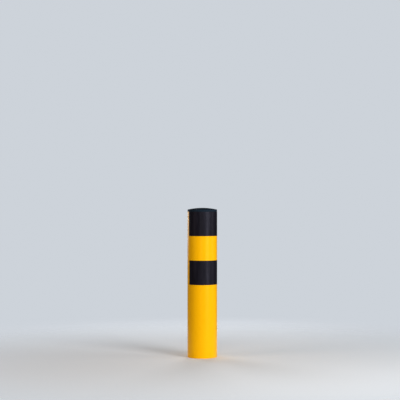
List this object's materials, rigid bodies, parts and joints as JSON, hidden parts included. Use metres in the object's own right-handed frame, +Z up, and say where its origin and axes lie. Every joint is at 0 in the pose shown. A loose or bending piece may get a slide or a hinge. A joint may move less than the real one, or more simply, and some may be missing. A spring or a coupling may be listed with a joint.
{
  "type": "steel bollard",
  "caption": "Upright round steel guard bollard, yellow with black foil bands and a shallow domed push-in cap; protects racking, doors and machines from vehicles.",
  "frame": {"origin": "centre of the tube's foot, on the floor", "axes": "+Z up along the tube's axis, towards the cap; -Y is the front, and the seams of the foil bands lie towards -X"},
  "size_m": [0.2457, 0.2458, 1.2308],
  "materials": {
    "yellow_coating": "satin",
    "black_foil": "satin",
    "black_plastic": "satin"
  },
  "bodies": {
    "root": {"tube": "yellow_coating", "upper_band": "black_foil", "lower_band": "black_foil", "top_cap": "black_plastic"}
  },
  "joints": []
}
